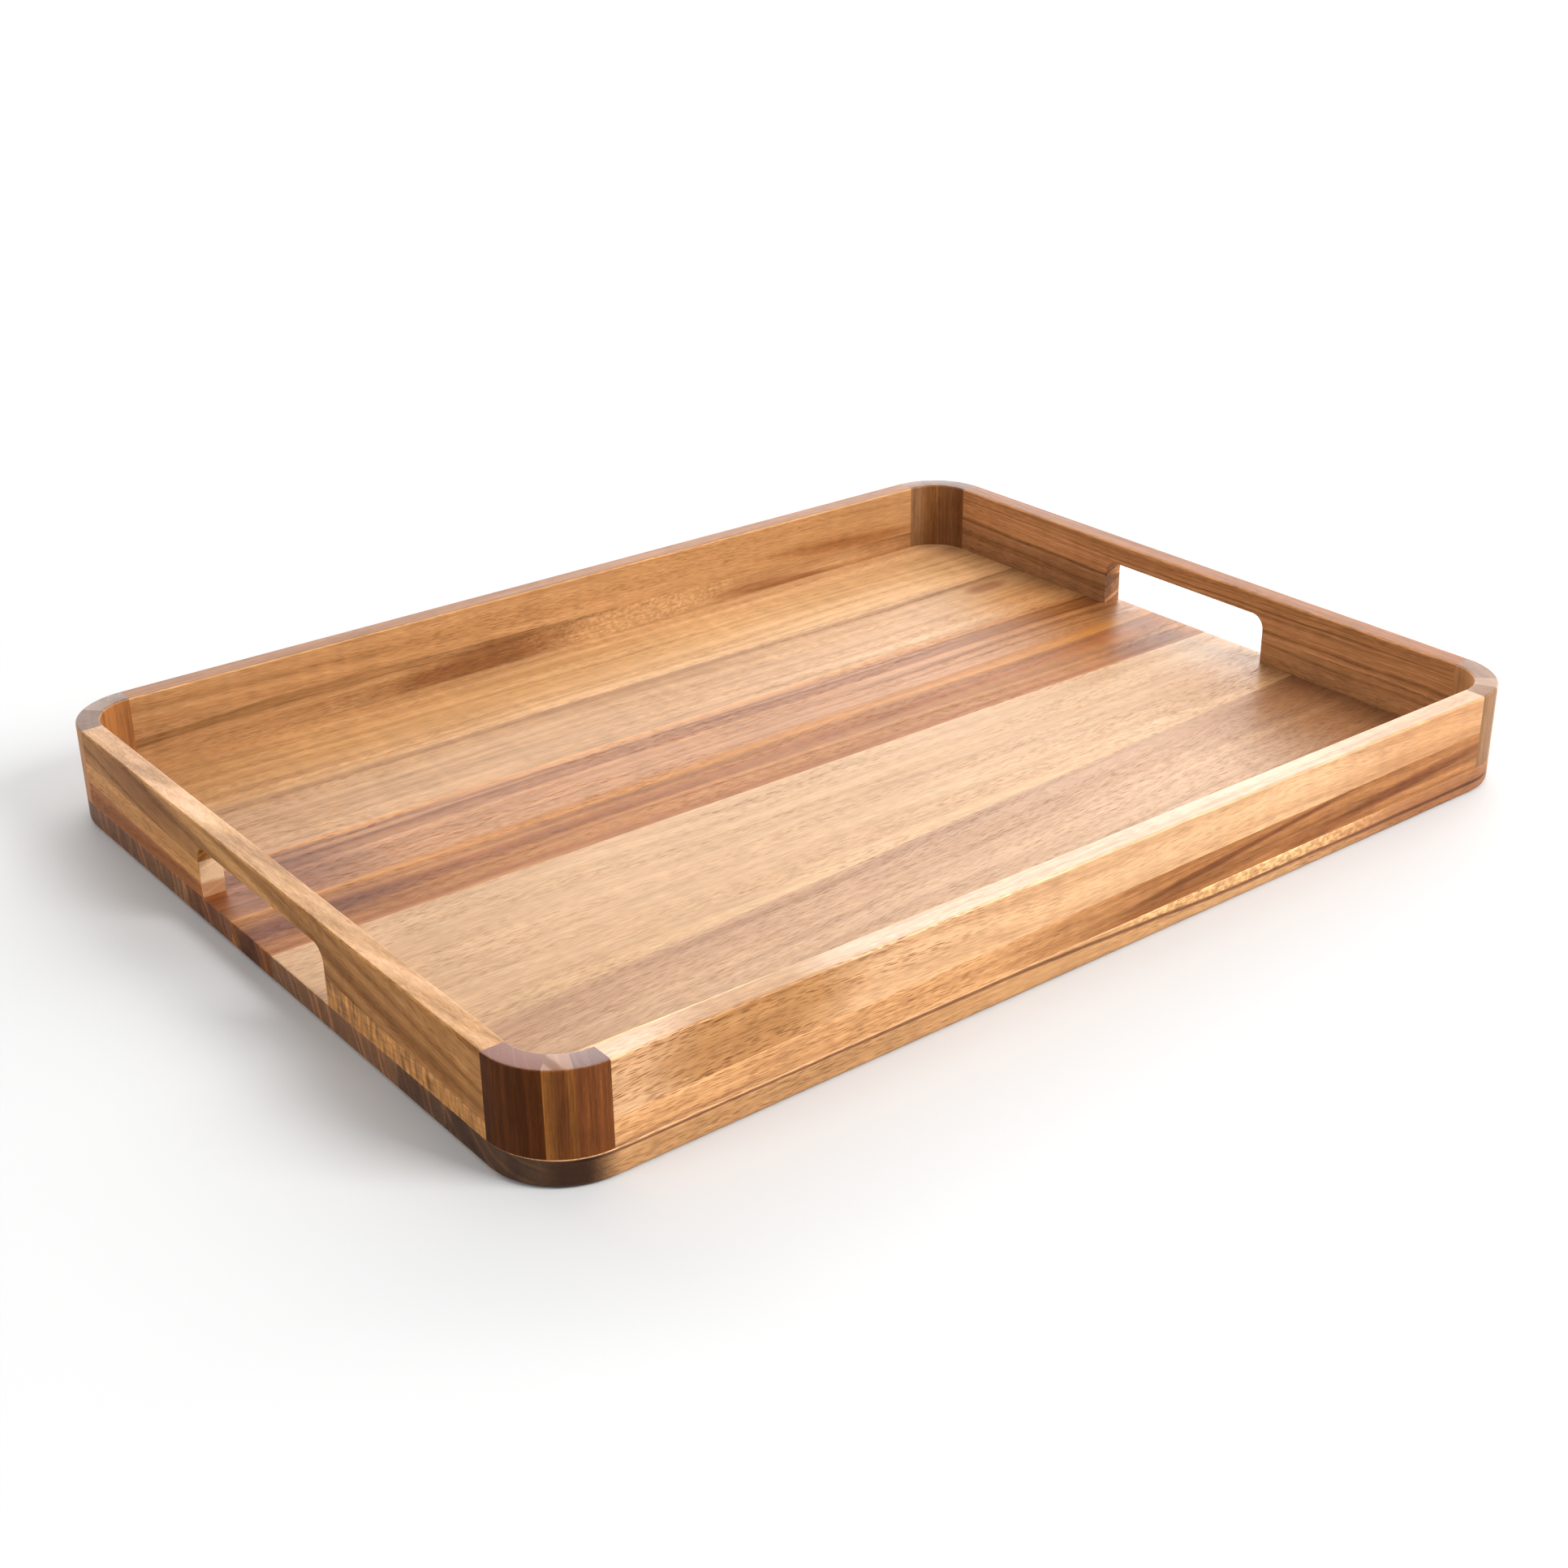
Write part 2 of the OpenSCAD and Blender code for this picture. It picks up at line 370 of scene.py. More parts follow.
ROUGHNESS = 0.50
STREAK_ROUGHNESS = -0.16         # what a streak adds to the roughness
PORE_ROUGHNESS = 0.22            # what a pore adds to it
FIBRE_RELIEF = 0.55              # heights of the relief, where a pore is 1 deep
PATTERN_RELIEF = 0.25
BUMP_STRENGTH = 0.35
BUMP_DEPTH = 0.00012             # metres


def band(start, end, tint, soft=2.0, wave=2.0, line="level"):
    """A stripe along the grain, from `start` to `end` mm across from a line of the piece."""
    return {"start": start, "end": end, "tint": tint, "soft": soft, "wave": wave, "line": line}


def patch(at, size, tint, soft=0.35, slope=0.0, wobble=0.5, speckle=None):
    """An oval of another tone, of painted shade or of painted sheen, `at` (along, across), of half-sizes
    `size`.
    `speckle` breaks it up into specks of that size."""
    return {"at": at, "size": size, "tint": tint, "soft": soft, "slope": slope, "wobble": wobble,
            "speckle": speckle}


def make_board(s, look, axes, centre, seed, lines):
    """What a board's shader works from: the place in the tray as `along`, `across` and `depth`, the
    place in the `grain`, which wanders, the `radius` from the tree's middle, the `wander` of the marks,
    `facing`, which is 1 on the end grain, and how far the face looks `up`."""
    place = s.scale(s.add("ShaderNodeTexCoord").outputs["Object"], 1 / MM)
    xyz = dict(zip("XYZ", s.split(place)))
    middle = dict(zip("XYZ", centre))
    along, across, depth = (xyz[axis] for axis in axes)
    mid_along, mid_across, mid_depth = (middle[axis] for axis in axes)
    slope = look["slope"]
    level = s.math("MULTIPLY_ADD", along, -slope, across)
    level = s.math("ADD", level, slope * mid_along - mid_across)
    through = s.math("SUBTRACT", depth, mid_depth)
    straight = s.combine(along, level, through)
    slow = s.noise(straight, SLOW_WANDER, seed, detail=1.0)
    quick = s.noise(straight, QUICK_WANDER, seed + LAYER["ripple"], detail=1.0)
    level = s.math("ADD", level, s.centred(slow, look["drift"]))
    level = s.math("ADD", level, s.centred(quick, look["ripple"]))
    pith_across, pith_depth = look["pith"]
    side = s.math("SUBTRACT", level, pith_across)
    deep = s.math("SUBTRACT", through, pith_depth)
    normal = dict(zip("XYZ", s.split(s.add("ShaderNodeTexCoord").outputs["Normal"])))
    return SimpleNamespace(
        look=look,
        seed=seed,
        lines={"level": (0.0, 0.0), **lines},
        along=along,
        across=across,
        depth=depth,
        grain=s.combine(along, level, through),
        radius=s.vector("LENGTH", s.combine(side, deep, 0.0)),
        wander=s.math("SUBTRACT", s.noise(straight, MARK_WANDER, seed + LAYER["mark"]), 0.5),
        facing=s.step(s.math("ABSOLUTE", normal[axes[0]]), *END_TURN),
        up=normal["Z"],
    )


def grain_pattern(s, board):
    """Growth rings, streaks and fibres mixed, then the streaks and the fibres on their own."""
    look = board.look
    ring = s.line_noise(board.radius, look["rings"], board.seed)
    streak = s.noise(board.grain, look["streak_size"], board.seed + LAYER["streak"], detail=3.0)
    fibre = s.noise(board.grain, FIBRES, board.seed + LAYER["fibre"], roughness=0.6)
    pattern = s.math("MULTIPLY", ring, look["ring"])
    pattern = s.math("MULTIPLY_ADD", streak, look["streak"], pattern)
    pattern = s.math("MULTIPLY_ADD", fibre, look["fibre"], pattern)
    contrast = look["contrast"] / (look["ring"] + look["streak"] + look["fibre"])
    pattern = s.math("MULTIPLY_ADD", pattern, contrast, 0.5 - 0.5 * look["contrast"], clamp=True)
    return pattern, streak, fibre


def grain_colour(s, board, pattern):
    """The tone along the pattern, with broad clouds, bars across the grain and short fine fibres."""
    look = board.look
    light, middle, dark = (shaded(colour(code), look["shade"]) for code in TONES[look["tone"]])
    base = s.ramp(pattern, list(zip(TONE_STOPS, (dark, middle, light))))
    cloud = s.noise(board.grain, CLOUDS, board.seed + LAYER["cloud"])
    figure = s.noise(board.grain, look["figure_size"], board.seed + LAYER["figure"], detail=1.0)
    fine = s.noise(board.grain, FINE_FIBRES, board.seed + LAYER["fine"], detail=1.0)
    glow = s.math("ADD", s.centred(cloud, look["cloud"] * 2), s.centred(figure, look["figure"] * 2))
    glow = s.math("ADD", glow, s.centred(fine, look["fine"]))
    return s.scale(base, s.math("ADD", glow, 1.0))


def end_grain(s, board, base):
    """The end grain's own tone, with the growth rings as paler lines."""
    look = board.look
    if look["end_colour"]:
        cover = s.math("MULTIPLY", board.facing, END_COVER)
        inputs = {0: cover, 6: base, 7: colour(look["end_colour"])}
        base = s.add("ShaderNodeMix", inputs, data_type="RGBA").outputs[2]
    else:
        base = s.tint(base, board.facing, look["end"])
    rings = s.line_noise(board.radius, END_LINES, board.seed + LAYER["end line"])
    strength = s.math("MULTIPLY", s.step(rings, *END_LINE_LEVELS), look["end_lines"])
    return s.tint(base, s.math("MULTIPLY", board.facing, strength), END_LINE_TINT)


def band_mask(s, board, item):
    """1 inside a stripe made by `band`, 0 outside."""
    height, slope = board.lines[item["line"]]
    place = s.math("MULTIPLY_ADD", board.along, -slope, board.across)
    place = s.math("MULTIPLY_ADD", board.wander, item["wave"], place)
    place = s.math("SUBTRACT", place, height)
    half = item["soft"] / 2
    inside = s.step(place, item["start"] - half, item["start"] + half)
    outside = s.step(place, item["end"] - half, item["end"] + half, 1.0, 0.0)
    return s.math("MULTIPLY", inside, outside)


def patch_mask(s, board, item):
    """1 inside an oval made by `patch`, 0 outside."""
    x, y = item["at"]
    length, width = item["size"]
    level = s.math("MULTIPLY_ADD", board.along, -item["slope"], board.across)
    flat = s.combine(board.along, level, 0.0)
    centre = (-x / length, (-y + item["slope"] * x) / width, 0.0)
    place = s.vector("MULTIPLY_ADD", flat, (1 / length, 1 / width, 0.0), centre)
    distance = s.vector("LENGTH", place)
    distance = s.math("MULTIPLY_ADD", board.wander, item["wobble"], distance)
    mask = s.step(distance, 1 - item["soft"], 1 + item["soft"], 1.0, 0.0)
    if item["speckle"]:
        specks = s.step(s.noise(board.grain, item["speckle"], SPECK_SEED), *SPECK_LEVELS)
        mask = s.math("MULTIPLY", mask, specks)
    return mask


def marks(s, board, base):
    """The stripes, the patches and any other marks of the piece's look."""
    for item in board.look["bands"]:
        base = s.tint(base, band_mask(s, board, item), item["tint"])
    for item in board.look["patches"]:
        base = s.tint(base, patch_mask(s, board, item), item["tint"])
    if "extra" in board.look:
        base = board.look["extra"](s, board, base)
    return base


def pore_mask(s, board):
    """Short dashes along the grain, in zones of more and fewer: the cut-open vessels of the wood."""
    look = board.look
    start, end, least = look["pore_zones"]
    zones = s.noise(board.grain, PORE_ZONES, board.seed + LAYER["zone"], detail=1.0)
    density = s.step(zones, start, end, least, 1.0)
    if look["pore_fade"]:
        fade_start, fade_end, left = look["pore_fade"]
        density = s.math("MULTIPLY", density, s.step(board.along, fade_start, fade_end, 1.0, left))
    if look["top"]:
        density = s.math("MULTIPLY", density, s.step(board.up, *TOP_TURN, 1.0, TOP_PORES))
    cells = s.vector("MULTIPLY", board.grain, [1 / length for length in look["pore_size"]])
    node = s.add("ShaderNodeTexVoronoi", {"Vector": cells, "Scale": 1.0})
    dash = s.step(node.outputs["Distance"], *PORE_RIM, 1.0, 0.0)
    return s.math("MULTIPLY", dash, density)


def tops_and_edges(s, board, base):
    """Painted sheen and shade on the faces that look up; rubbed wear with a painted highlight on the edges.
    """
    up = s.math("MAXIMUM", board.up, 0.0)
    if board.look["top"]:
        # painted sheen and painted shade on the faces that look up
        base = s.tint(base, s.step(up, *TOP_TURN), board.look["top"])
    # Rubbed wear with a painted highlight, on the eased edges that turn half up.
    edge = s.math("MULTIPLY", up, s.math("SUBTRACT", 1.0, up))
    edge = s.math("MULTIPLY", edge, 4.0, clamp=True)   # 1 where the face is half turned up
    spots = s.noise(board.grain, WORN_AND_GLEAMING_SPOTS, board.seed + LAYER["wear_and_highlight"])
    wear_and_highlight = s.step(spots, *WEAR_AND_HIGHLIGHT_LEVELS, LEAST_WEAR_AND_HIGHLIGHT, 1.0)
    return s.tint(base, s.math("MULTIPLY", edge, wear_and_highlight), WEAR_AND_HIGHLIGHT_TINT)


def wood(name, axes, centre, look, seed, lines=None):
    """A piece of oiled acacia. `axes` names the frame's axes along, across and through the board, and
    `lines` the glue lines that its bands follow, each (height at the frame's middle, slope)."""
    look = {**PLAIN, **look}
    s = Shader(name)
    board = make_board(s, look, axes, centre, seed, lines or {})
    pattern, streak, fibre = grain_pattern(s, board)
    base = grain_colour(s, board, pattern)
    base = end_grain(s, board, base)
    base = marks(s, board, base)
    pores = pore_mask(s, board)
    base = s.tint(base, s.math("MULTIPLY", pores, look["pores"]), look["pore_tint"])
    base = tops_and_edges(s, board, base)
    roughness = s.math("MULTIPLY_ADD", streak, STREAK_ROUGHNESS, ROUGHNESS)
    roughness = s.math("MULTIPLY_ADD", pores, PORE_ROUGHNESS, roughness)
    relief = s.math("MULTIPLY_ADD", pores, -1.0, s.math("MULTIPLY", fibre, FIBRE_RELIEF))
    relief = s.math("MULTIPLY_ADD", pattern, PATTERN_RELIEF, relief)
    bump = s.add("ShaderNodeBump", {"Height": relief, "Strength": BUMP_STRENGTH,
                                    "Distance": BUMP_DEPTH})
    s.put(s.surface.inputs["Base Color"], base)
    s.put(s.surface.inputs["Roughness"], roughness)
    s.put(s.surface.inputs["Normal"], bump.outputs["Normal"])
    s.put(s.surface.inputs["Specular IOR Level"], look["gloss"])
    return s.material


# Seeds of the pieces' grain, and what each further piece adds.
STAVE_SEED = 3.7
STRIP_SEED = 31.0
STRIP_SEED_STEP = 4.3
BLOCK_SEED = 80.0
CORNER_SEED_STEP = 9.1
WEDGE_SEED_STEP = 2.7
DOWEL_SEED = 150.0


def middle_of(node):
    """The centre of a CAD node's box, in millimetres."""
    low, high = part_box(node)
    return (low + high) / (2 * MM)


# ---- base board ----


def cut_line(i):
    """Glue line behind stave i as (y at the left end, y at the right end)."""
    points = node_points(f"base_stave_{i}")
    ends = []
    for side in (-1, 1):
        ends.append(max(p.y for p in points if p.x * side > HALF_LENGTH - SAME_PLACE))
    return ends


STAVES = 7
CUTS = [cut_line(i) for i in range(1, STAVES)]


def cut_y(i, x):
    """Width position of the glue line behind stave i, at x."""
    left, right = CUTS[i - 1]
    return (left + right) / 2 + (right - left) * x / (2 * HALF_LENGTH)


def stave_outline(i, inset):
    """Outline of stave i seen from above, drawn in by `inset` along the tray's outside."""
    x = HALF_LENGTH - inset
    radius = CORNER - inset
    corner_x = LONG_RUN / 2
    corner_y = SHORT_RUN / 2
    if i == 1:
        front = arc((-corner_x, -corner_y), radius, 180, 270, ARC_STEPS)
        front += arc((corner_x, -corner_y), radius, 270, 360, ARC_STEPS)
    else:
        front = [(-x, cut_y(i - 1, -x)), (x, cut_y(i - 1, x))]
    if i == STAVES:
        back = arc((corner_x, corner_y), radius, 0, 90, ARC_STEPS)
        back += arc((-corner_x, corner_y), radius, 90, 180, ARC_STEPS)
    else:
        back = [(x, cut_y(i, x)), (-x, cut_y(i, -x))]
    return front + back


def rim_levels():
    """The base board's edge from bottom to top as (inset, height)."""
    bottom = arc((BOTTOM_ROUND, BOTTOM_ROUND), BOTTOM_ROUND, 270, 180, ROUND_STEPS + 2)
    top = arc((BASE_ARRIS, BASE_TOP - BASE_ARRIS), BASE_ARRIS, 180, 90, ROUND_STEPS)
    return bottom + top


def make_stave(i, look):
    """Stave i of the base board, from one glue line to the next."""
    node = f"base_stave_{i}"
    lines = {}
    for name, cut in (("front", i - 1), ("back", i)):
        if 1 <= cut < STAVES:
            left, right = CUTS[cut - 1]
            lines[name] = ((left + right) / 2, (right - left) / (2 * HALF_LENGTH))
    rings = [[(x, y, z) for x, y in stave_outline(i, inset)] for inset, z in rim_levels()]
    points, faces = loft(rings)
    material = wood(node + "_wood", "XYZ", middle_of(node), look, STAVE_SEED * i, lines)
    return make_piece(node, points, faces, material)


# ---- walls ----

# Each wall's turn about Z from the front wall, its run, and how far its outer face is from the middle.
WALL_TURNS = {
    "front": (0, LONG_RUN, HALF_WIDTH),
    "right": (90, SHORT_RUN, HALF_LENGTH),
    "back": (180, LONG_RUN, HALF_WIDTH),
    "left": (-90, SHORT_RUN, HALF_LENGTH),
}


def wall_point(wall, u, w, z):
    """A point of a wall: u from left to right seen from outside, w in from the outer face."""
    turn, _, reach = WALL_TURNS[wall]
    angle = math.radians(turn)
    y = w - reach
    return (u * math.cos(angle) - y * math.sin(angle), u * math.sin(angle) + y * math.cos(angle), z)


def glue_line(wall):
    """Heights of a wall's glue line at its left and right ends seen from outside, from its upper strip."""
    run = WALL_TURNS[wall][1]
    points = node_points(f"{wall}_wall_upper")
    heights = []
    for end in (-1, 1):
        corner = Vector(wall_point(wall, end * run / 2, 0, 0))
        near = [p.z for p in points if (p.xy - corner.xy).length < SAME_PLACE]
        heights.append(min(near))
    return heights


def strip_outline(wall, part):
    """Outline of a wall strip seen from outside: part is lower, upper, lower_left or lower_right."""
    half = WALL_TURNS[wall][1] / 2
    left, right = glue_line(wall)

    def glue(u):
        return (left + right) / 2 + (right - left) * u / (2 * half)

    if part == "lower":
        return [(-half, BASE_TOP), (half, BASE_TOP), (half, right), (-half, left)]
    if part == "lower_left":
        return [(-half, BASE_TOP), (-SLOT_HALF, BASE_TOP), (-SLOT_HALF, glue(-SLOT_HALF)), (-half, left)]
    if part == "lower_right":
        return [(SLOT_HALF, BASE_TOP), (half, BASE_TOP), (half, right), (SLOT_HALF, glue(SLOT_HALF))]
    foot = [(-half, left)]
    if wall in ("left", "right"):
        spring = SLOT_TOP - SLOT_ROUND
        crown = SLOT_HALF - SLOT_ROUND
        foot.append((-SLOT_HALF, glue(-SLOT_HALF)))
        foot += arc((-crown, spring), SLOT_ROUND, 180, 90, ARC_STEPS // 2)
        foot += arc((crown, spring), SLOT_ROUND, 90, 0, ARC_STEPS // 2)
        foot.append((SLOT_HALF, glue(SLOT_HALF)))
    return foot + [(half, right), (half, TRAY_TOP), (-half, TRAY_TOP)]


def strip_ease(outline):
    """How widely each edge of a wall strip is eased, by the numbers of the edge's two points."""
    count = len(outline)
    half = max(abs(u) for u, _ in outline)

    def ease_of(start, end):
        (u0, z0), (u1, z1) = start, end
        if z0 == z1 == TRAY_TOP:
            return WALL_ARRIS
        if abs(u0) == abs(u1) == half and u0 == u1:
            return 0.0
        if max(abs(u0), abs(u1)) <= SLOT_HALF and max(z0, z1) <= SLOT_TOP + SAME_PLACE:
            return SLOT_ARRIS
        if z0 == z1 == BASE_TOP:
            return 0.0
        return JOINT_ARRIS

    sizes = {}
    for k in range(count):
        nxt = (k + 1) % count
        size = ease_of(outline[k], outline[nxt])
        sizes[frozenset((k, nxt))] = size
        sizes[frozenset((count + k, count + nxt))] = size
    return sizes


def make_strip(wall, part, node, look, seed):
    """One strip of a wall, with its top and slot edges eased."""
    outline = strip_outline(wall, part)
    outer = [wall_point(wall, u, 0, z) for u, z in outline]
    inner = [wall_point(wall, u, WALL, z) for u, z in outline]
    points, faces = loft([inner, outer])
    sizes = strip_ease(outline)
    lookup = {}
    for pair, size in sizes.items():
        a, b = (Vector(points[k]) for k in pair)
        lookup[(a.freeze(), b.freeze())] = size

    def eases(a, b):
        return lookup.get((a.freeze(), b.freeze()), lookup.get((b.freeze(), a.freeze()), 0.0))

    axes = "XZY" if wall in ("front", "back") else "YZX"
    left, right = glue_line(wall)
    slope = (right - left) / WALL_TURNS[wall][1] * (1 if wall in ("front", "right") else -1)
    lines = {"glue": ((left + right) / 2, slope)}
    material = wood(node + "_wood", axes, middle_of(node), look, seed, lines)
    return make_piece(node, points, faces, material, eases)


# ---- corner blocks ----

BLOCK_CUTS = (0.0, 24.0, 44.0, 90.0)   # degrees from the long wall's joint
DEGREES_PER_FACE = 3.0


def block_profile():
    """Cross-section of a corner block as (radius, height)."""
    inner = CORNER - WALL
    outer = arc((CORNER - WALL_ARRIS, TRAY_TOP - WALL_ARRIS), WALL_ARRIS, 0, 90, ROUND_STEPS)
    inside = arc((inner + WALL_ARRIS, TRAY_TOP - WALL_ARRIS), WALL_ARRIS, 90, 180, ROUND_STEPS)
    return [(inner, BASE_TOP), (CORNER, BASE_TOP)] + outer + inside


def make_block(front_back, left_right, i, look, seed):
    """Wedge i of a corner block, swept round the corner's centre."""
    node = f"{front_back}_{left_right}_block_{i}"
    sx = -1 if left_right == "left" else 1
    sy = -1 if front_back == "front" else 1
    start, end = BLOCK_CUTS[i - 1:i + 1]
    steps = math.ceil((end - start) / DEGREES_PER_FACE)
    rings = []
    for k in range(steps + 1):
        angle = math.radians(start + (end - start) * k / steps)
        dx, dy = sx * math.sin(angle), sy * math.cos(angle)
        x, y = sx * LONG_RUN / 2, sy * SHORT_RUN / 2
        rings.append([(x + r * dx, y + r * dy, z) for r, z in block_profile()])
    if sx * sy > 0:   # these corners turn the other way, so this keeps their faces looking outwards
        rings.reverse()
    points, faces = loft(rings)
    material = wood(node + "_wood", "ZXY", middle_of(node), look, seed)
    return make_piece(node, points, faces, material)


# ---- looks of the pieces ----

# The marks on the base board's front edge. Each pair says where, in mm along the board, a change starts
# and ends, unless its comment says otherwise.
EDGE_FADE = (2.0, 6.0)                   # the marks fade out, in mm from the front
STREAK_SINKS = (-70.0, 105.0)            # the dark streak leaves the seam and sinks
STREAK_HEIGHTS = (BASE_TOP - 1.6, 6.8)   # its height before and after
STREAK_WIDENS = (-190.0, -60.0)
STREAK_WIDTHS = (0.8, 1.5)               # its half-width before and after
STREAK_CORE = 0.4                        # half-width of its darkest part
STREAK_WANDER = 1.6
STREAK_TINT = (0.42, 0.33, 0.32)
CURLY_STARTS = (-10.0, 40.0)
CURLY_ENDS = (150.0, 215.0)
CURLY_ABOVE = (0.6, 1.4)                 # curly wood starts, in mm above the streak's middle
CURL_SIZE = (3.4, 6.0, 2.6)
CURL_LEVELS = (0.44, 0.58)               # noise levels at which a curl starts and is full
CURL_SEED = 61.0
CURL_TINT = (1.45, 1.5, 1.5)
BROWN_STARTS = (110.0, 230.0)
BROWN_TINT = (0.62, 0.48, 0.4)

# The dark corner of the base board at its front left.
CORNER_DARK = (43.0, 34.0)               # how far in from the left and from the front it reaches
CORNER_FADES = (20.0, 6.0)               # over what lengths it fades there
CORNER_TOP_FADE = (0.9, 0.3)             # where it fades, below the board's top
CORNER_EVENNESS = 0.3                    # low values hold it even up to the end grain
CORNER_TINT = (0.09, 0.055, 0.03)


def dark_corner(s, board, base):
    """Dark wood at the front left corner, on the board's edge and underside."""
    left_reach, front_reach = CORNER_DARK
    left_fade, front_fade = CORNER_FADES
    front = s.step(board.across, front_reach - front_fade - HALF_WIDTH, front_reach - HALF_WIDTH, 1.0, 0.0)
    left = s.step(board.along, left_reach - left_fade - HALF_LENGTH, left_reach - HALF_LENGTH, 1.0, 0.0)
    below = s.step(board.depth, BASE_TOP - CORNER_TOP_FADE[0], BASE_TOP - CORNER_TOP_FADE[1], 1.0, 0.0)
    corner = s.math("MULTIPLY", s.math("MULTIPLY", front, left), below)
    side_grain = s.math("POWER", s.math("SUBTRACT", 1.0, board.facing), CORNER_EVENNESS)
    return s.tint(base, s.math("MULTIPLY", corner, side_grain), CORNER_TINT)


def front_edge(s, board, base):
    """The base board's front edge: a dark streak that leaves the seam and sinks, curly wood above it, a
    brown right end and a dark left corner."""
    middle = s.step(board.along, *STREAK_SINKS, *STREAK_HEIGHTS)
    above = s.math("SUBTRACT", s.math("MULTIPLY_ADD", board.wander, STREAK_WANDER, board.depth), middle)
    width = s.step(board.along, *STREAK_WIDENS, *STREAK_WIDTHS)
    streak = s.step(s.math("ABSOLUTE", above), STREAK_CORE, width, 1.0, 0.0)
    curl = s.step(s.noise(board.grain, CURL_SIZE, CURL_SEED, detail=1.0), *CURL_LEVELS)
    reach = s.math("MULTIPLY", s.step(board.along, *CURLY_STARTS), s.step(board.along, *CURLY_ENDS, 1.0, 0.0))
    curl = s.math("MULTIPLY", curl, s.math("MULTIPLY", s.step(above, *CURLY_ABOVE), reach))
    brown = s.step(board.along, *BROWN_STARTS)
    face = s.step(board.across, EDGE_FADE[0] - HALF_WIDTH, EDGE_FADE[1] - HALF_WIDTH, 1.0, 0.0)
    for mask, tint in ((brown, BROWN_TINT), (curl, CURL_TINT), (streak, STREAK_TINT)):
        base = s.tint(base, s.math("MULTIPLY", mask, face), tint)
    return dark_corner(s, board, base)


STAVE_LOOKS = {
    1: {"tone": "tan", "shade": 1.05, "contrast": 1.6, "pith": (-40, 60), "rings": 9.0,
        "pores": 0.75, "extra": front_edge, "end": (0.13, 0.1, 0.08),
        "bands": (band(-5, 3, (1.5, 1.6, 1.75), line="back"),)},
    2: {"tone": "peach", "shade": 0.84, "contrast": 1.2, "slope": 0.07, "pores": 0.5, "figure": 0.03,
        "ring": 0.25, "end": (0.23, 0.18, 0.14), "pore_zones": (0.3, 0.5, 0.5),
        "bands": (band(-26, 3, (0.84, 0.77, 0.72), line="back", soft=18, wave=8),),
        # The patch at the far right is painted shadow cast by the right wall.
        "patches": (patch((290, -140), (75, 60), (0.62, 0.5, 0.42), soft=0.9),)},
    3: {"bands": (band(-3, 9, (1.07, 1.1, 1.12), line="front", soft=8),),
        "tone": "cream", "shade": 0.8, "contrast": 1.0, "pores": 0.6, "figure": 0.025,
        "ring": 0.22, "end": (0.37, 0.28, 0.23),
        "patches": (patch((-272, -95), (70, 30), (1.08, 1.1, 1.12), soft=0.8),
                    patch((270, -70), (60, 30), (0.86, 0.8, 0.76), soft=0.8))},
    4: {"tone": "hazel", "shade": 1.12, "contrast": 1.0, "rings": 6.0,
        "end": (0.5, 0.48, 0.48), "gloss": 0.2,
        "bands": (band(-9, 3, (1.2, 1.26, 1.2), line="back", soft=3),
                  band(-23, -14, (0.8, 0.68, 0.6), line="back", soft=6),
                  band(1.5, 6, (0.82, 0.72, 0.64), line="front", soft=4)),
        "patches": (patch((262, 1), (30, 9), (0.6, 0.52, 0.54), soft=0.5),
                    # The patch at the left end is darker wood with painted shade over it.
                    patch((-290, 14), (70, 12), (0.55, 0.45, 0.42), soft=0.6))},
    5: {"tone": "russet", "shade": 0.97, "contrast": 1.6, "rings": 5.0,
        "end": (0.6, 0.58, 0.52), "ring": 0.45,
        "bands": (band(-5, 3, (1.4, 1.5, 1.6), line="back", soft=2.5),
                  band(-9, -6.5, (0.74, 0.62, 0.54), line="back", soft=1.5),
                  band(-20, -12, (0.84, 0.74, 0.66), line="back", soft=4)),
        # The patch at the left end is darker, mottled wood with painted shade over it.
        "patches": (patch((-285, 55), (55, 25), (0.6, 0.46, 0.38), soft=0.6),)},
    6: {"tone": "tan", "shade": 0.9, "contrast": 1.2, "ring": 0.28, "end": (0.37, 0.3, 0.27),
        "bands": (band(-3, 2, (1.28, 1.35, 1.45), line="back", soft=2),
                  band(-9, -4, (0.85, 0.8, 0.78), line="back", soft=3)),
        "patches": (patch((256, 130), (15, 6), (0.66, 0.56, 0.56), soft=0.5),
                    patch((262, 100), (34, 22), (1.1, 1.0, 0.88), soft=0.7),
                    # The last patch is painted sheen, lighter towards the right end.
                    patch((180, 110), (120, 40), (1.15, 1.2, 1.3), soft=0.9))},
    7: {"tone": "tan", "shade": 1.15, "end": (0.26, 0.2, 0.19),
        "rings": 6.5, "ring": 0.34, "contrast": 1.3,
        # This patch is painted sheen, lighter towards the right end.
        "patches": (patch((170, 180), (190, 60), (1.2, 1.3, 1.45), soft=0.9),)},
}
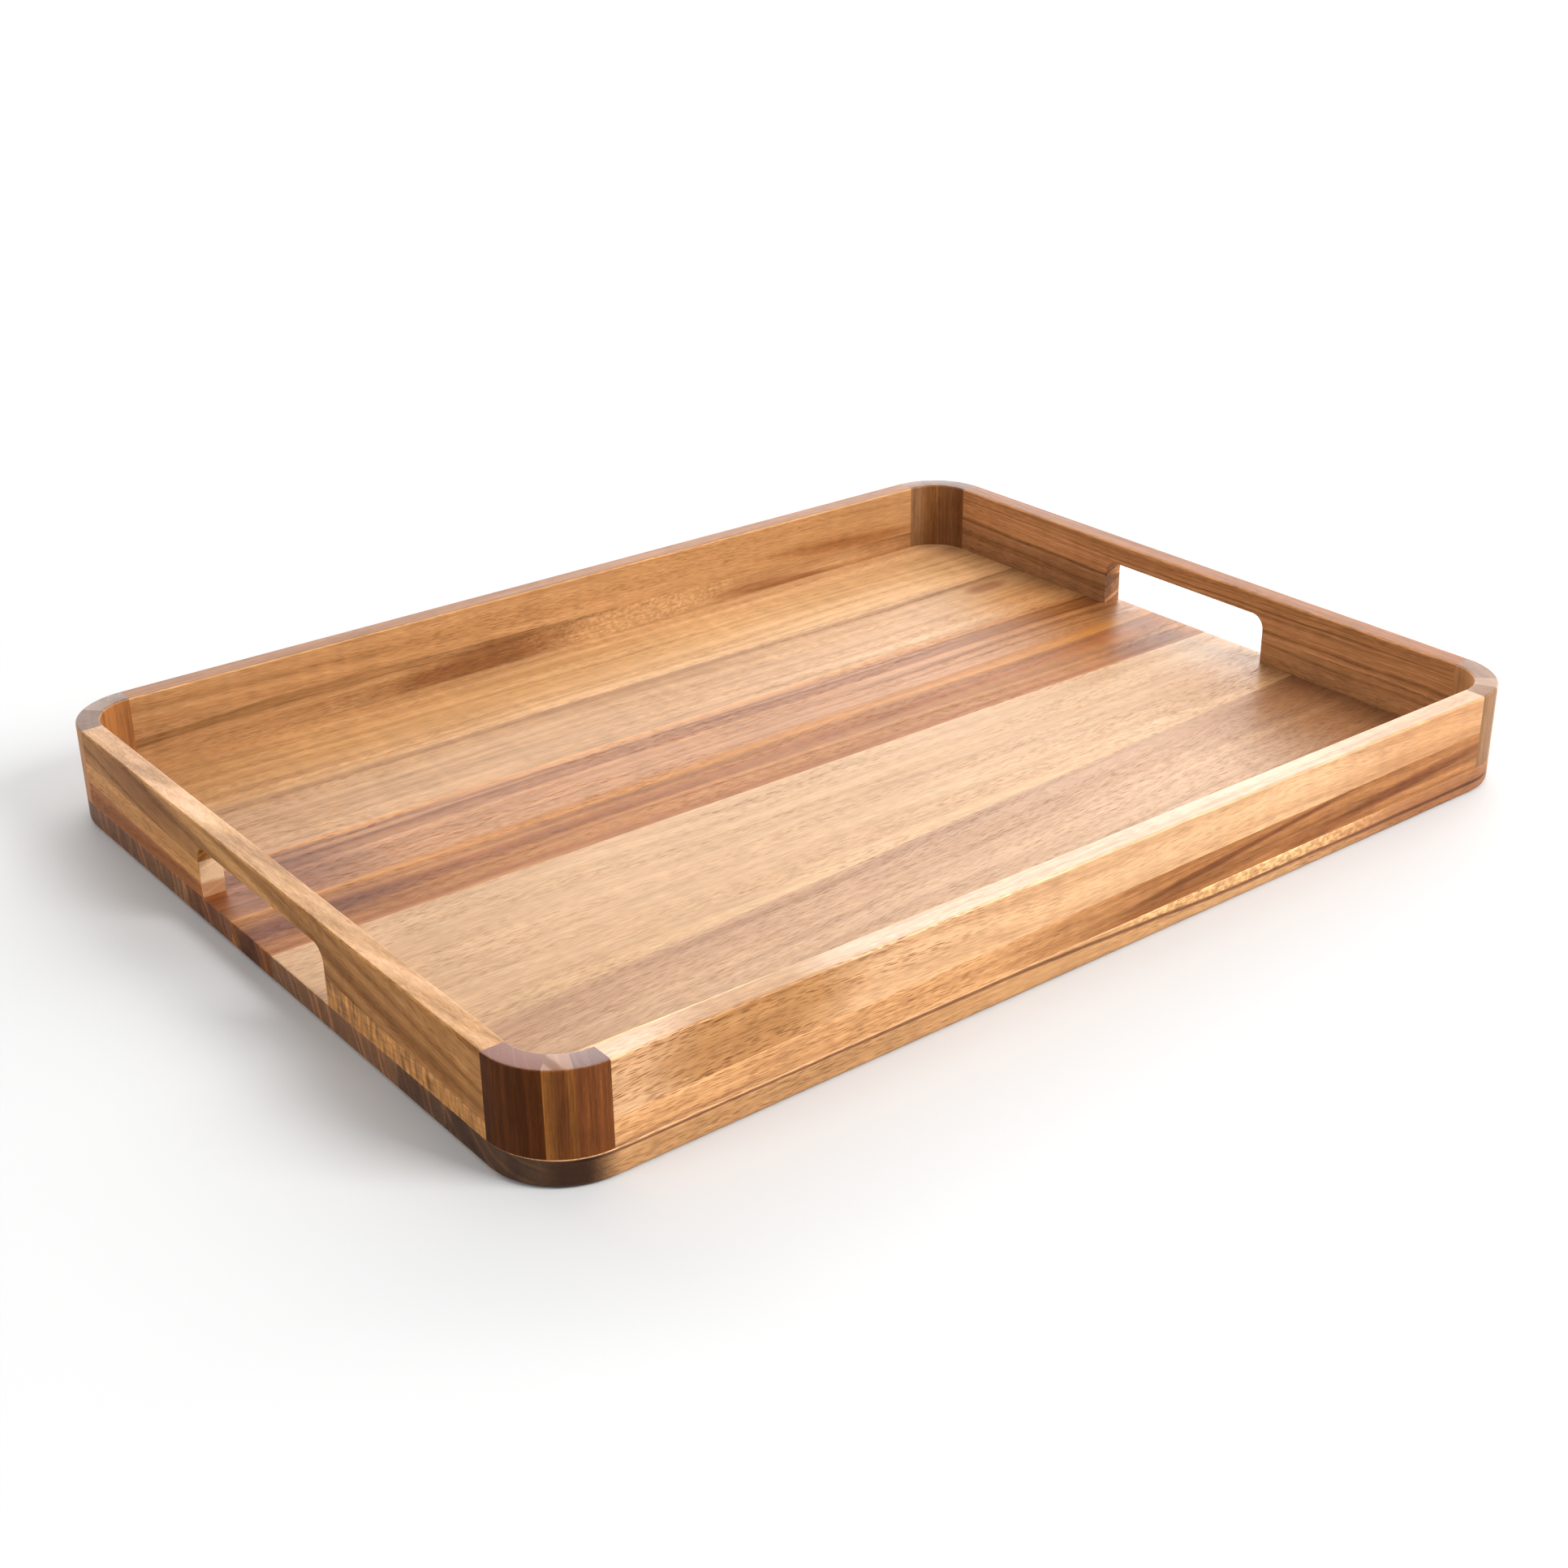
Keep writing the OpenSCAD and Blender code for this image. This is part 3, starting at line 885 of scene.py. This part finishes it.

# A 'top' tint in these looks is painted light: painted sheen on the front and left walls' tops, painted shade
# on the back and right walls' tops.
STRIP_LOOKS = {
    "front_wall_lower": {
        "tone": "russet", "shade": 0.96, "contrast": 1.7, "slope": 0.02, "ring": 0.3,
        "pores": 0.8, "pore_zones": (0.25, 0.45, 0.5), "pore_fade": (-120.0, 20.0, 0.45),
        "patches": (patch((-215, 20), (190, 60), (1.7, 2.1, 2.8), soft=0.35, wobble=0.9),
                    patch((95, 26.5), (75, 1.9), (0.5, 0.4, 0.34), slope=0.085, soft=0.4, wobble=1.6),
                    patch((215, 23), (75, 2.8), (0.62, 0.5, 0.44), slope=0.07, soft=0.5, wobble=1.6),
                    patch((30, 16), (60, 2.5), (0.8, 0.72, 0.68), slope=0.05, soft=0.6, wobble=1.6))},
    "front_wall_upper": {
        "tone": "peach", "shade": 1.12, "top": (1.0, 1.15, 1.5), "ring": 0.2, "pores": 1.0,
        "pore_tint": (0.42, 0.3, 0.2), "pore_fade": (-130.0, 10.0, 0.3), "pore_zones": (0.38, 0.58, 0.25),
        "patches": (patch((-200, 42), (44, 60), (0.72, 0.62, 0.46), soft=0.5, slope=0.6, wobble=1.0),
                    patch((-240, 40), (60, 60), (0.95, 0.9, 0.85), soft=0.6, speckle=(5, 0.9, 0.9)),
                    patch((265, 40), (95, 90), (0.84, 0.74, 0.64), soft=0.6))},
    "back_wall_lower": {
        "tone": "tan", "shade": 0.86, "contrast": 2.0, "slope": 0.01,
        "patches": (patch((-60, 20), (58, 9), (0.62, 0.52, 0.45), slope=0.05, soft=0.5),
                    patch((50, 24), (76, 12), (1.2, 1.28, 1.35), soft=0.2, wobble=0.7,
                          speckle=(2.6, 1.6, 1.6)),
                    patch((50, 24), (76, 12), (1.1, 1.12, 1.15), soft=0.25),
                    patch((150, 17), (50, 3), (0.72, 0.62, 0.56), slope=-0.05, soft=0.5),
                    patch((255, 22), (30, 14), (0.85, 0.78, 0.72), soft=0.6))},
    "back_wall_upper": {
        "gloss": 0.14, "tone": "tan", "shade": 0.94, "top": (0.57, 0.42, 0.3), "slope": -0.03,
        "patches": (patch((60, 40), (90, 12), (1.1, 1.12, 1.15), soft=0.8),
                    patch((215, 30), (50, 5), (0.75, 0.64, 0.56), slope=-0.06, soft=0.6))},
    "left_wall_lower_front": {
        "tone": "honey", "shade": 0.88, "figure": 0.5,
        "figure_size": (2.4, 12.0, 40.0), "pores": 0.4},
    "left_wall_lower_back": {
        "tone": "honey", "shade": 1.0, "end_colour": "#D8BC9C", "end_lines": 0.15,
        "bands": (band(-40, -11.5, (0.66, 0.50, 0.42), line="glue", soft=3.0, wave=3.0),)},
    "left_wall_upper": {
        "gloss": 0.14, "tone": "honey", "shade": 0.72, "top": (1.4, 1.65, 2.5), "contrast": 1.9,
        "slope": 0.12, "end": (1.1, 1.2, 1.3),
        "patches": (patch((125, 46), (45, 7), (0.68, 0.58, 0.5), slope=0.05, soft=0.7),
                    patch((20, 46), (50, 6), (1.15, 1.2, 1.2), slope=0.1, soft=0.7),
                    patch((-115, 32), (60, 2.6), (0.75, 0.66, 0.58), slope=0.12, soft=0.6))},
    "right_wall_lower_front": {"tone": "mauve", "shade": 1.3, "contrast": 1.7},
    "right_wall_lower_back": {"tone": "mauve", "shade": 1.0, "contrast": 1.7, "end": (1.0, 1.0, 1.1)},
    "right_wall_upper": {
        "gloss": 0.14, "tone": "mauve", "shade": 1.4, "top": (0.6, 0.43, 0.3), "rings": 2.4, "ring": 0.5,
        "contrast": 1.9, "end": (0.9, 0.9, 0.9)},
}

STRIP = {"gloss": 0.24}   # what all wall strips share

BLOCK_LOOKS = {
    "front_left": (
        {"tone": "umber", "end_colour": "#84706C"},
        {"tone": "chestnut", "shade": 0.76, "contrast": 1.8, "end_colour": "#A48678",
         "bands": (band(-294.1, -292.9, (1.22, 1.2, 1.15), soft=0.8, wave=1.0),
                   band(-290.5, -286.5, (0.66, 0.56, 0.46), soft=2.0, wave=2.0))},
        {"tone": "walnut", "shade": 0.72, "gloss": 0.12, "end_colour": "#8E6E66"},
    ),
    "front_right": (
        {"tone": "mauve", "shade": 0.8, "end_colour": "#7A563C"},
        {"tone": "peach", "shade": 0.75, "end_colour": "#8E705C"},
        {"tone": "mauve", "shade": 1.35, "end_colour": "#6C5042"},
    ),
    "back_left": (
        {"tone": "russet", "shade": 0.85, "end_colour": "#6A564C"},
        {"tone": "russet", "shade": 0.95, "end_colour": "#705C50"},
        {"tone": "russet", "shade": 0.85, "end_colour": "#543A2A"},
    ),
    "back_right": (
        {"tone": "mauve", "shade": 0.72, "end_colour": "#785848"},
        {"tone": "russet", "shade": 0.54, "end_colour": "#6C5044"},
        {"tone": "russet", "shade": 0.5, "end_colour": "#664A3E"},
    ),
}
# What all corner blocks share.
BLOCK = {"gloss": 0.24, "rings": 3.0, "ring": 0.3, "fibre": 0.4, "contrast": 1.25, "drift": 3.0,
         "ripple": 0.5, "streak_size": (120.0, 3.0, 3.0), "cloud": 0.12, "pores": 0.5,
         "pore_tint": (1.45, 1.45, 1.4), "pore_size": (4.0, 0.7, 0.7), "end_lines": 0.12}

# Each strip as (wall, part of the wall seen from outside, node).
STRIPS = (
    ("front", "lower", "front_wall_lower"),
    ("front", "upper", "front_wall_upper"),
    ("back", "lower", "back_wall_lower"),
    ("back", "upper", "back_wall_upper"),
    ("left", "lower_right", "left_wall_lower_front"),
    ("left", "lower_left", "left_wall_lower_back"),
    ("left", "upper", "left_wall_upper"),
    ("right", "lower_left", "right_wall_lower_front"),
    ("right", "lower_right", "right_wall_lower_back"),
    ("right", "upper", "right_wall_upper"),
)


def make_tray():
    """All the wooden pieces, and the wood of the hidden dowels."""
    for i, look in STAVE_LOOKS.items():
        make_stave(i, look)
    for k, (wall, part, node) in enumerate(STRIPS):
        make_strip(wall, part, node, {**STRIP, **STRIP_LOOKS[node]}, STRIP_SEED + STRIP_SEED_STEP * k)
    for c, (corner, looks) in enumerate(BLOCK_LOOKS.items()):
        front_back, left_right = corner.split("_")
        for i, look in enumerate(looks, start=1):
            seed = BLOCK_SEED + CORNER_SEED_STEP * c + WEDGE_SEED_STEP * i
            make_block(front_back, left_right, i, {**BLOCK, **look}, seed)
    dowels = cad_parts["joint_dowels"]
    material = wood("dowel_wood", "XYZ", middle_of("joint_dowels"), {"tone": "sapwood"}, DOWEL_SEED)
    dowels.data.materials.clear()
    dowels.data.materials.append(material)


make_tray()

# ---- studio ----

WHITE = (1.0, 1.0, 1.0, 1.0)
ROOM_LIGHT = 0.34              # strength of the light from all round
FLOOR_HALF = 12.0              # half-size of the floor, in metres
FLOOR_COLOUR = (0.62, 0.62, 0.62, 1.0)
FLOOR_ROUGHNESS = 0.9
BACKDROP_PLACE = (1.5, 1.95, 1.0)   # of the softbox at the back; the ring of wall is as far out
BACKDROP_COLOUR = (0.8, 0.8, 0.8, 1.0)
BACKDROP_FACES = 64
BACKDROP_HEIGHT = 4.0          # metres

# Softboxes as (name, place, target, size, power), in metres and watts.
LIGHTS = (
    ("key", (0.9, -1.9, 1.45), (0, 0, 0), (1.2, 1.2), 60.0),
    ("overhead", (0.1, -0.2, 2.2), (0, 0, 0), (2.4, 2.4), 10.0),
    ("fill", (-2.3, -0.3, 0.9), (0, 0, 0), (1.6, 1.2), 18.0),
    ("backdrop", BACKDROP_PLACE, (0, 0, 1.0), (7.0, 2.0), 150.0),
)


def studio_mesh(name, points, faces):
    """A piece of the studio, and the shader of its material."""
    mesh = bpy.data.meshes.new(name)
    mesh.from_pydata(points, [], faces)
    piece = bpy.data.objects.new(name, mesh)
    bpy.context.scene.collection.objects.link(piece)
    s = Shader(name)
    mesh.materials.append(s.material)
    return piece, s


def make_floor():
    """A plain pale surface under the tray."""
    size = FLOOR_HALF
    corners = [(-size, -size, 0), (size, -size, 0), (size, size, 0), (-size, size, 0)]
    floor, s = studio_mesh("studio_floor", corners, [(0, 1, 2, 3)])
    s.put(s.surface.inputs["Base Color"], FLOOR_COLOUR)
    s.put(s.surface.inputs["Roughness"], FLOOR_ROUGHNESS)


def make_backdrop():
    """A plain white ring of wall round the tray, which only the camera sees."""
    radius = math.hypot(BACKDROP_PLACE[0], BACKDROP_PLACE[1])
    foot = [(x, y, 0.0) for x, y in arc((0, 0), radius, 0, 360, BACKDROP_FACES)]
    head = [(x, y, BACKDROP_HEIGHT) for x, y, _ in foot]
    count = len(foot)
    faces = [(k, k + 1, count + k + 1, count + k) for k in range(BACKDROP_FACES)]
    wall, s = studio_mesh("studio_backdrop", foot + head, faces)
    wall.visible_diffuse = False
    wall.visible_glossy = False
    wall.visible_shadow = False
    s.put(s.surface.inputs["Base Color"], BACKDROP_COLOUR)
    s.put(s.surface.inputs["Emission Color"], WHITE)
    s.put(s.surface.inputs["Emission Strength"], 1.0)


def make_light(name, place, target, size, power):
    """A rectangular softbox, aimed at a point."""
    data = bpy.data.lights.new(name, "AREA")
    data.shape = "RECTANGLE"
    data.size, data.size_y = size
    data.energy = power
    light = bpy.data.objects.new(name, data)
    bpy.context.scene.collection.objects.link(light)
    aim = (Vector(target) - Vector(place)).to_track_quat("-Z", "Y")
    light.matrix_world = Matrix.LocRotScale(Vector(place), aim, None)


def make_studio():
    """The room's light, the floor, the softboxes, the backdrop and the picture's contrast."""
    world = bpy.data.worlds.new("studio")
    world.use_nodes = True
    background = world.node_tree.nodes["Background"]
    background.inputs["Color"].default_value = WHITE
    background.inputs["Strength"].default_value = ROOM_LIGHT
    bpy.context.scene.world = world
    make_floor()
    for light in LIGHTS:
        make_light(*light)
    make_backdrop()
    bpy.context.scene.view_settings.view_transform = "Standard"
    bpy.context.scene.view_settings.look = "Medium High Contrast"


make_studio()
